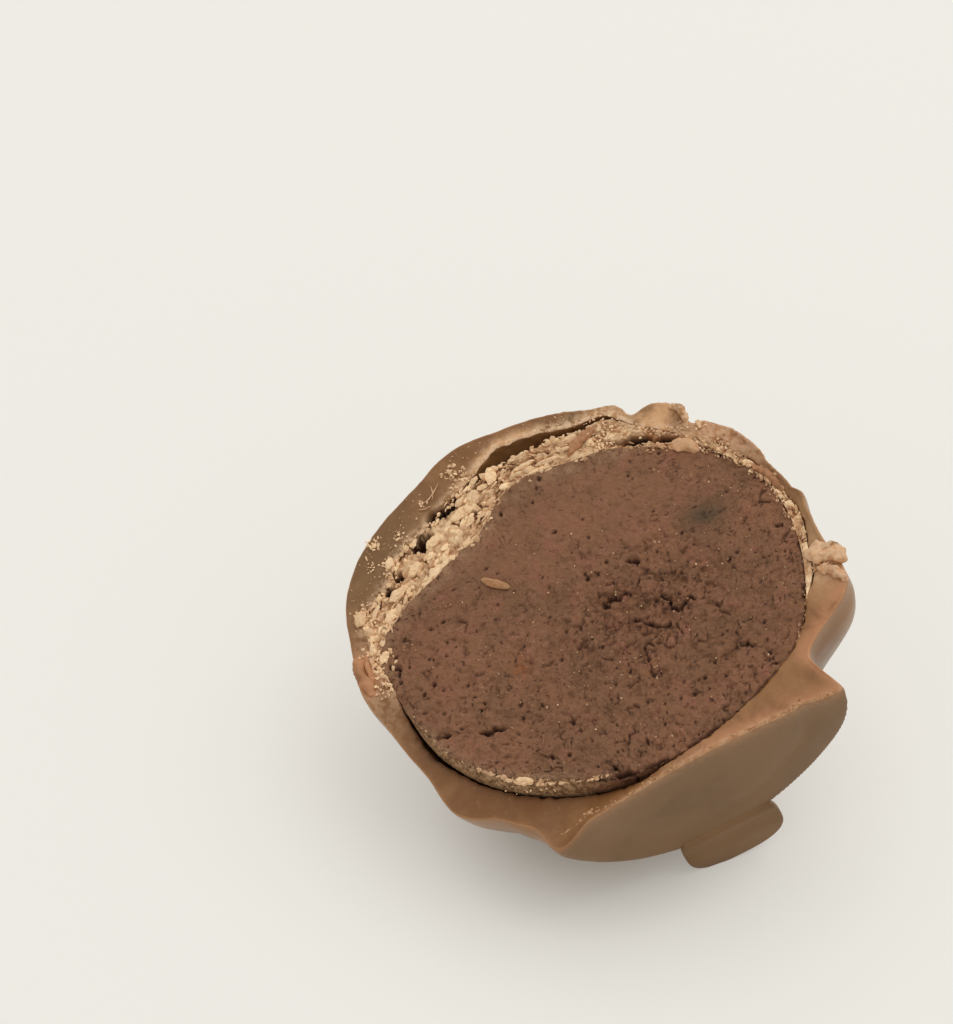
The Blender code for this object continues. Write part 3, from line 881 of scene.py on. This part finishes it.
def inner_coat():
    """Rings over the outside to the boundary, across the thickness, and back over the inside."""
    rim = crust_rim()
    inward = np.array([0.9, 0.75, 0.6, 0.45, 0.3, 0.17, 0.07, 0.0])
    toward_middle = np.concatenate([inward, np.zeros(CUT_ROWS), inward[::-1]])
    across = np.arange(1, CUT_ROWS + 1) / (CUT_ROWS + 1.0)
    through = np.concatenate([0.0 * inward, across, 0.0 * inward + 1.0])
    bm = bmesh.new()
    bmesh.ops.create_circle(bm, segments=len(rim), radius=1.0)
    start = bm.edges[:]
    end = grow_rings(bm, start, len(through) - 1)
    close_loop(bm, start)
    close_loop(bm, end)
    at = plan(bm)
    row = np.rint(at[:, 2]).astype(int)
    place = np.rint(np.arctan2(at[:, 1], at[:, 0]) / math.tau * len(rim)).astype(int) % len(rim)
    share = np.where(np.hypot(at[:, 0], at[:, 1]) < 0.5, 1.0, toward_middle[row])[:, None]
    way = unit(rim[place] * (1.0 - share) + np.array([0.0, 0.7, 0.7]) * share)
    way[np.abs(way[:, 1]) < 1e-6, 1] = 0.0
    outside, inside = crust_outside(way), crust_inside(way)
    points = way * ((outside + (inside - outside) * through[row]) * tucked(way))[:, None]
    u, v = points[:, 0], points[:, 2]
    face = np.abs(points[:, 1]) < 1e-4
    angle, radius = np.arctan2(v, u), np.hypot(u, v)
    height, hollow, tone = crust_relief(u, v + HEART_HEIGHT, angle, radius)
    way = directions(angle, np.zeros_like(angle))
    width = np.maximum(crust_outside(way) - crust_inside(way), 0.05)
    share = limit((radius - crust_inside(way)) / width)
    height = height * smooth(0.2, 0.9, width) + 0.02
    soft = smooth(0.0, 0.25, share)
    points[face, 1] -= (height * soft)[face]
    marks = {
        # hollow: painted shade in the low places and caves, and dark over the hidden sides
        "hollow": np.where(face, hollow * smooth(0.0, 0.1, share), 0.9),
        "tone": np.where(face, limit(tone), 0.3),
    }
    return finish_piece("pale_inner_coat", bm, lay(points, HEART_HEIGHT),
                        CRUMB, marks, "inner_coat")


# --- crumbs and flakes
ANY_WAY = 6.3


class Crumbs:
    """Loose and half-sunk bits gathered into one piece."""

    def __init__(self, seed):
        self.bm = bmesh.new()
        self.rng = np.random.default_rng(seed)
        self.sizes, self.tones = [], []

    def add(self, spot, size, tone, lean, shape, tilt, roll, fine=1):
        """One bit: size mm half length, at upright spot, its length leaning in the cut."""
        turn = Matrix.Rotation(-lean, 4, "Y") @ Matrix.Rotation(tilt, 4, "Z") @ Matrix.Rotation(roll, 4, "X")
        matrix = Matrix.Translation(spot) @ turn @ Matrix.Diagonal((*shape, 1.0))
        made = bmesh.ops.create_icosphere(self.bm, subdivisions=fine, radius=size, matrix=matrix)
        self.sizes += [size * min(shape[1], shape[2], 0.6) * (1.0 if fine == 1 else 0.8)] * len(made["verts"])
        self.tones += [tone] * len(made["verts"])

    def scatter(self, count, place, usual, spread, flat_share, dark, light):
        """Many bits; place gives each one's spot on the cut, its height and its lean."""
        rng = self.rng
        for _ in range(count):
            u, v, proud, lean = place(rng)
            size = float(np.exp(rng.normal(np.log(usual), spread)))
            kind = rng.random()
            if kind < flat_share:
                shape, tilt, roll = (1.5, rng.uniform(0.5, 0.9), 0.3), rng.normal(0, 0.3), rng.normal(0, 0.4)
            elif kind < flat_share + 0.15:
                shape, tilt, roll = (1.2, 0.25, rng.uniform(0.5, 0.9)), rng.normal(0, 0.4), rng.normal(0, 0.5)
            else:
                shape = (1.0, rng.uniform(0.6, 0.9), 0.8)
                tilt, roll = rng.uniform(0, ANY_WAY), rng.uniform(0, ANY_WAY)
            self.add((u, -proud, v), min(size, 4.0 * usual), rng.uniform(dark, light),
                     lean + rng.normal(0, 0.35), shape, tilt, roll)

    def done(self, name):
        """Roughens the bits, each by its own size, and leaves their faces flat."""
        points = plan(self.bm)
        sizes = np.array(self.sizes)[:, None]
        jag = np.stack([0.4 * swell(points, 0.35, 51 + k) + 0.4 * swell(points, 0.16, 61 + k)
                        + 0.34 * swell(points, 0.07, 71 + k) for k in range(3)], axis=1)
        points = points + jag * sizes
        marks = {"tone": self.tones, "hollow": 0.0}
        piece = finish_piece(name, self.bm, lay(points), CRUMB, marks)
        piece.data.polygons.foreach_set("use_smooth", [False] * len(piece.data.polygons))


def one_way(angle):
    return directions(np.array([angle]), np.zeros(1))


def on_cut(angle, radius):
    return radius * math.cos(angle), radius * math.sin(angle) + HEART_HEIGHT


def band_place(low, high, deep, proud, on_coat=False):
    """Picks a spot in the pale band, or on the coating beside it, between two angles."""
    def pick(rng):
        while True:
            angle = math.radians(rng.uniform(low, high))
            way = one_way(angle)
            near, far = float(crust_inside(way)[0]), float(crust_outside(way)[0])
            share = rng.uniform(0.0, 1.0)
            if on_coat:
                gap = float(opening(np.array([angle]))[0])
                near, far, share = far + gap + 0.1, float(coat_radius(way)[0][0]) - 0.25, share ** 1.8
            u, v = on_cut(angle, near + (far - near) * share)
            if all(cave_share(u, v, cave) > 1.25 for cave in CAVES[:9]):
                return u, v, rng.uniform(-deep, proud), angle + math.pi / 2.0
    return pick


def edge_place(low, high, radius, spread, proud=(0.0, 0.1)):
    """Picks a spot close to one outline of the cut, between two angles."""
    def pick(rng):
        angle = math.radians(rng.uniform(low, high))
        far = float(radius(one_way(angle))[0]) + rng.normal(0.0, spread)
        return *on_cut(angle, far), rng.uniform(*proud), angle + math.pi / 2.0
    return pick


def disc_place(spread, middle_u, middle_v):
    """Picks a spot on the filling, thicker round a middle."""
    def pick(rng):
        while True:
            u, v = rng.normal(middle_u, spread), rng.normal(middle_v, spread)
            if math.hypot(u / 15.5, (v - 14.5) / 13.5) < 1.0:
                return u, v, rng.uniform(0.02, 0.06), rng.uniform(0, ANY_WAY)
    return pick


def ridge_place(rng):
    """Along the sharp edge between the cut and the flat foot."""
    angle = math.atan2(-HEART_HEIGHT, rng.uniform(-10.3, 12.6))
    far = float(coat_radius(one_way(angle))[0][0]) - 0.04 - abs(rng.normal(0.0, 0.16))
    return *on_cut(angle, far), rng.uniform(-0.02, 0.08), 0.0


HEAPS = (
    # place, spread, size, count, tone
    (17.2, 9.9, 0.45, 0.16, 18, 0.8), (16.4, 9.4, 0.35, 0.14, 14, 0.5), (13.4, 9.6, 0.15, 0.08, 8, 0.5),
    (-17.2, 19.4, 0.45, 0.16, 22, 0.9), (-16.9, 21.3, 0.5, 0.17, 26, 0.9), (-16.1, 20.3, 0.5, 0.2, 30, 0.9),
    (-13.7, 20.5, 0.35, 0.09, 14, 0.1), (-9.9, 22.1, 0.4, 0.08, 12, 0.1), (-11.2, 5.0, 0.45, 0.1, 12, 0.6),
    (-12.3, 6.0, 0.4, 0.1, 12, 0.4), (-9.6, 4.0, 0.45, 0.09, 14, 0.4), (13.9, 25.3, 0.25, 0.12, 12, 0.7),
    (12.4, 26.2, 0.45, 0.13, 22, 0.7), (10.2, 27.5, 0.5, 0.12, 20, 0.6), (14.6, 22.8, 0.4, 0.13, 22, 0.6),
    (7.3, 28.9, 0.8, 0.14, 60, 0.75), (-4.5, 31.8, 0.55, 0.17, 70, 0.65), (-12.5, 29.9, 0.32, 0.15, 40, 0.95),
    (-13.6, 28.3, 0.22, 0.1, 14, 0.9), (-12.2, 27.6, 0.4, 0.17, 34, 0.9), (-15.6, 24.6, 0.5, 0.17, 34, 0.8),
    (-10.3, 29.3, 0.35, 0.12, 24, 0.8), (-7.6, 30.9, 0.25, 0.1, 14, 1.0), (6.2, 28.0, 0.28, 0.15, 26, 1.0),
    (-14.7, 24.0, 0.5, 0.15, 30, 0.8), (-17.3, 18.2, 0.35, 0.12, 14, 0.7),
)
BIG_BITS = (
    # place, proud, half length, tone, lean, width and thickness as shares of the length
    (-11.0, 5.25, 0.22, 0.74, 0.8, -0.45, 0.42, 0.46), (-12.0, 6.0, 0.08, 0.32, 0.6, -0.6, 0.4, 0.5),
    (-10.1, 4.5, 0.05, 0.25, 0.7, 0.2, 0.5, 0.5), (-15.9, 20.6, 0.2, 0.6, 0.95, 0.7, 0.35, 0.5),
    (13.9, 25.4, 0.1, 0.4, 0.7, 1.4, 0.4, 0.4), (-12.1, 27.7, 0.12, 0.5, 0.9, 0.9, 0.45, 0.7),
    (-16.1, 24.6, 0.22, 0.72, 0.7, 0.9, 0.4, 0.62), (-12.6, 25.0, 0.08, 0.95, 0.85, 0.3, 0.25, 0.36),
    (-4.0, 29.3, 0.05, 0.7, 0.65, 0.9, 0.4, 0.7), (-2.1, 30.2, 0.14, 0.75, 0.95, 1.2, 0.4, 0.6),
    (-8.3, 27.6, 0.02, 0.8, 0.85, 0.35, 0.3, 0.45), (-5.6, 28.6, 0.04, 0.85, 0.9, 0.25, 0.3, 0.42),
    (-13.9, 23.6, 0.06, 0.7, 0.9, 0.6, 0.3, 0.5), (-10.6, 26.2, 0.04, 0.75, 0.8, 0.5, 0.3, 0.45),
    (0.6, 29.6, 0.1, 0.95, 0.8, 0.05, 0.2, 0.2), (2.3, 29.0, 0.08, 1.0, 0.75, -0.1, 0.2, 0.18),
    (1.2, 28.7, 0.06, 0.8, 0.9, -0.05, 0.2, 0.16), (3.9, 29.2, 0.08, 0.7, 0.7, -0.2, 0.25, 0.22),
)
FOLDED_FLAKE = (
    # place, proud, half length, tone, lean, width, thickness
    (-5.7, 21.6, 0.22, 1.25, 0.12, -0.83, 0.1, 0.26), (-5.9, 21.5, 0.27, 0.7, 0.05, -0.7, 0.14, 0.26),
)
BIG_CRUMBS = 34


def rim_of_filling(way):
    return filling_radius(way) - 0.5


LOBE_STEP = 4.0
LOBES = (
    # three places (across, proud, up), half width, half thickness, pale, pink
    (((-17.7, 0.1, 21.8), (-18.4, 0.2, 20.2), (-17.9, -0.3, 18.0)), 0.5, 0.4, 0.2, 0.8),
    (((-17.1, 0.0, 21.6), (-17.5, 0.3, 20.6), (-17.5, 0.0, 19.2)), 0.25, 0.25, 0.4, 0.8),
    (((16.1, 0.0, 10.8), (17.6, 0.45, 10.3), (18.7, 0.1, 9.3)), 0.85, 0.36, 1.0, 0.2),
    (((16.9, 0.2, 10.2), (17.9, 0.55, 9.6), (18.6, 0.1, 8.6)), 0.4, 0.36, 1.0, 0.3),
    (((16.3, 0.0, 9.2), (17.5, 0.4, 8.9), (17.9, 0.1, 7.1)), 0.42, 0.3, 0.9, 0.4),
    (((12.5, 0.1, 28.0), (13.8, 0.3, 27.4), (12.9, 0.1, 25.7)), 0.3, 0.3, 1.0, 0.2),
    (((11.1, 0.0, 24.8), (12.2, 0.35, 24.6), (12.9, 0.0, 23.5)), 0.52, 0.24, 0.8, 0.4),
    (((-8.0, 0.05, 31.2), (-7.4, 0.16, 30.5), (-5.9, 0.05, 31.9)), 0.06, 0.05, 0.9, 0.4),
    (((-8.2, 0.05, 30.7), (-7.7, 0.12, 30.3), (-7.2, 0.05, 30.5)), 0.05, 0.04, 0.9, 0.4),
    (((-6.9, 0.05, 30.9), (-6.5, 0.12, 31.3), (-6.5, 0.05, 32.1)), 0.05, 0.04, 0.9, 0.4),
    (((4.0, -0.05, 28.6), (5.2, 0.25, 29.4), (6.6, -0.05, 29.5)), 0.4, 0.2, 0.3, 0.6),
    (((15.9, 0.0, 19.9), (16.9, 0.25, 18.6), (16.9, 0.0, 16.6)), 0.28, 0.26, 0.1, 0.7),
)


def curled_lips():
    """Soft folded lips and shavings of the coating, pushed up by the knife."""
    bm = bmesh.new()
    for k in range(len(LOBES)):
        apart = Matrix.Translation((LOBE_STEP * k, 0, 0))
        bmesh.ops.create_uvsphere(bm, u_segments=20, v_segments=40, radius=1.0, matrix=apart)
    at = plan(bm)
    which = np.rint(at[:, 0] / LOBE_STEP).astype(int)
    at[:, 0] -= LOBE_STEP * which
    pale, pink = np.zeros(len(at)), np.zeros(len(at))
    for k, (bend, wide, thick, white, rosy) in enumerate(LOBES):
        part = which == k
        x, y, z = at[part].T
        blunt = np.sqrt(np.maximum(1.0 - z ** 4, 0.0) / np.maximum(1.0 - z ** 2, 1e-6))
        blunt = np.where(np.abs(z) < 0.999, blunt, 0.0)
        a, b, c = (np.array(p) for p in bend)
        along = ((z + 1.0) / 2.0)[:, None]
        centre = a * (1 - along) ** 2 + 2 * b * along * (1 - along) + c * along ** 2
        heading = unit((b - a) * (1 - along) + (c - b) * along)
        side = unit(np.stack([-heading[:, 2], 0.0 * heading[:, 1], heading[:, 0]], 1))
        place = centre + side * (x * blunt * wide)[:, None]
        place[:, 1] += y * blunt * thick
        at[part] = place + np.stack([
            0.42 * wide * swell(place, max(wide * 1.3, 0.25), 80 + n)
            + 0.16 * min(wide, 0.4) * swell(place, 0.28, 90 + n) for n in range(3)], 1)
        pale[part], pink[part] = white, rosy
    marks = {"cut": 1.0, "pale": pale, "pink": pink, "edge": 0.1, "dusty": 0.75 * smooth(0.6, 1.0, pale)}
    return finish_piece("curled_lips", bm, lay(at * (1.0, -1.0, 1.0)), MILK, marks)


def crumbs_of_pale_coat():
    shell = Crumbs(61)
    rng = shell.rng
    for row in (
            # how many, where, usual size, spread, share of flat ones, darkest, lightest
            (300, band_place(96, 160, 0.3, 0.06), 0.14, 0.6, 0.5, 0.4, 1.0),
            (180, band_place(58, 98, 0.3, 0.05), 0.11, 0.5, 0.8, 0.4, 1.0),
            (150, band_place(36, 58, 0.3, 0.05), 0.09, 0.45, 0.4, 0.3, 0.9),
            (170, edge_place(68, 172, crust_outside, 0.12), 0.15, 0.45, 0.4, 0.6, 1.0),
            (120, edge_place(44, 172, filling_radius, 0.16), 0.12, 0.5, 0.4, 0.2, 0.9),
            (90, edge_place(208, 250, rim_of_filling, 0.05, (-0.03, 0.08)), 0.11, 0.4, 0.4, 0.2, 0.7),
            (70, edge_place(180, 222, rim_of_filling, 0.05, (-0.5, 0.03)), 0.055, 0.3, 0.2, 0.5, 0.9),
            (40, edge_place(318, 358, filling_radius, 0.08), 0.07, 0.4, 0.4, 0.1, 0.6),
            (260, band_place(-12, 44, 0.2, 0.08), 0.11, 0.45, 0.5, 0.1, 0.85),
            (170, edge_place(-8, 50, filling_radius, 0.18), 0.1, 0.45, 0.5, 0.1, 0.8),
            (60, edge_place(-8, 44, crust_outside, 0.12), 0.1, 0.45, 0.5, 0.1, 0.7),
            (300, band_place(60, 172, 0.0, 0.06, True), 0.05, 0.45, 0.4, 0.5, 1.0)):
        shell.scatter(*row)
    for _ in range(BIG_CRUMBS):
        u, v, proud, lean = band_place(84, 160, 0.1, 0.08)(rng)
        shell.add((u, -proud, v), rng.uniform(0.3, 0.6), rng.uniform(0.6, 1.0), lean, (1.0, 0.3, 0.5),
                  rng.normal(0, 0.3), rng.normal(0, 0.4), 2)
    for u, v, spread, size, count, tone in HEAPS:
        for _ in range(count):
            du, dv = np.clip(rng.normal(0, spread, 2), -1.7 * spread, 1.7 * spread)
            spot = (u + du, -rng.uniform(-0.08, 0.14), v + dv)
            shell.add(spot, size * rng.uniform(0.35, 1.3), limit(tone + rng.normal(0, 0.15)),
                      rng.uniform(0, ANY_WAY), (1.0, 0.45, 0.7), rng.normal(0, 0.5), rng.normal(0, 0.6))
    for u, v, proud, size, tone, lean, wide, thick in BIG_BITS:
        shell.add((u, -proud, v), size, tone, lean, (1.0, wide, thick), 0.1, 0.2, 3)
    shell.done("crumbs_of_pale_coat")


def specks_on_filling():
    flake = Crumbs(64)
    for u, v, proud, size, tone, lean, wide, thick in FOLDED_FLAKE:
        flake.add((u, -proud, v), size, tone, lean, (1.0, wide, thick), 0.03, 0.3, 3)
    flake.scatter(170, disc_place(6.5, 4.0, 9.5), 0.052, 0.35, 0.3, 0.3, 1.0)
    flake.scatter(110, disc_place(4.5, 11.0, 15.5), 0.05, 0.35, 0.3, 0.3, 1.0)
    flake.scatter(90, disc_place(5.0, -8.0, 13.0), 0.048, 0.35, 0.3, 0.2, 1.0)
    flake.done("specks_on_filling")


def chips_on_foot_edge():
    chips = Crumbs(67)
    chips.scatter(300, ridge_place, 0.075, 0.45, 0.3, 0.0, 0.35)
    chips.done("chips_on_foot_edge")


# --- floor, light and camera
FLOOR, FLOOR_GLOW = (0.51, 0.5, 0.468, 1.0), 0.39      # a lit table: its own share of light
GLOW_MIDDLE, GLOW_PER_METRE = 0.333, 66.7     # painted shadow: the table's light dims under the half, within 15 mm
WINDOW_PLACE, WINDOW_SIZE, WINDOW_POWER = (0.25, 0.4, 1.2), 1.5, 8.4
SKY = 0.56


def stage():
    bm = bmesh.new()
    bmesh.ops.create_grid(bm, x_segments=1, y_segments=1, size=1.5)
    mesh = bpy.data.meshes.new("table_top")
    bm.to_mesh(mesh)
    bm.free()
    paper = Finish("plain_white", roughness=0.9)
    paper.shader.inputs["Base Color"].default_value = FLOOR
    spread = paper.node("ShaderNodeMapping", {}, {
        "Vector": paper.place, "Location": (0.0, GLOW_MIDDLE, 0.0), "Scale": (GLOW_PER_METRE,) * 3})
    under = paper.node("ShaderNodeTexGradient", {"gradient_type": "SPHERICAL"}, {"Vector": spread}, "Fac")
    # painted shadow: the table's light is darker near the half
    glow_and_painted_shadow = paper.blend(under.over(0.0, 0.8), (1.0, 0.985, 0.93, 1.0), (0.35, 0.33, 0.29, 1.0))
    paper.wire(glow_and_painted_shadow, "Emission Color")
    paper.shader.inputs["Emission Strength"].default_value = FLOOR_GLOW
    mesh.materials.append(paper.material)
    put("table_top", mesh)


def lights():
    world = bpy.data.worlds.new("studio")
    bpy.context.scene.world = world
    world.use_nodes = True
    sky = world.node_tree.nodes["Background"]
    sky.inputs["Color"].default_value = (1.0, 0.992, 0.965, 1.0)
    sky.inputs["Strength"].default_value = SKY
    lamp = bpy.data.lights.new("window", "AREA")
    lamp.size, lamp.energy, lamp.color = WINDOW_SIZE, WINDOW_POWER, (1.0, 0.985, 0.95)
    holder = put("window", lamp)
    holder.location = WINDOW_PLACE
    holder.rotation_euler = (-Vector(WINDOW_PLACE)).to_track_quat("-Z", "Y").to_euler()


CAMERA_RISE = 47.0
FRAME_HEIGHT = 77.6          # mm of the cut's depth that the upright frame spans
FOOT_OFFSET = (15.5, -19.25)  # the foot's middle, right and up of the frame's middle, mm


def camera():
    lens = bpy.data.cameras.new("camera")
    lens.lens, lens.sensor_width = 400.0, 36.0
    distance = FRAME_HEIGHT * lens.lens / lens.sensor_width
    rise = math.radians(CAMERA_RISE)
    up = Vector((0.0, math.sin(rise), math.cos(rise)))
    back = Vector((0.0, -math.cos(rise), math.sin(rise)))
    aim = Vector(SHIFT) - Vector((1, 0, 0)) * FOOT_OFFSET[0] - up * FOOT_OFFSET[1]
    holder = put("camera", lens)
    holder.location = (aim + back * distance) * MM
    holder.rotation_euler = (math.radians(90.0) - rise, 0.0, 0.0)
    lens.clip_start, lens.clip_end = 0.01, 10.0
    bpy.context.scene.camera = holder


MILK = milk_chocolate()
GANACHE = ganache_filling()
CRUMB = crumbly_chocolate()

bpy.context.scene.view_settings.view_transform = "Standard"
coating()
drip()
curled_lips()
ganache()
inner_coat()
crumbs_of_pale_coat()
specks_on_filling()
chips_on_foot_edge()
stage()
lights()
camera()
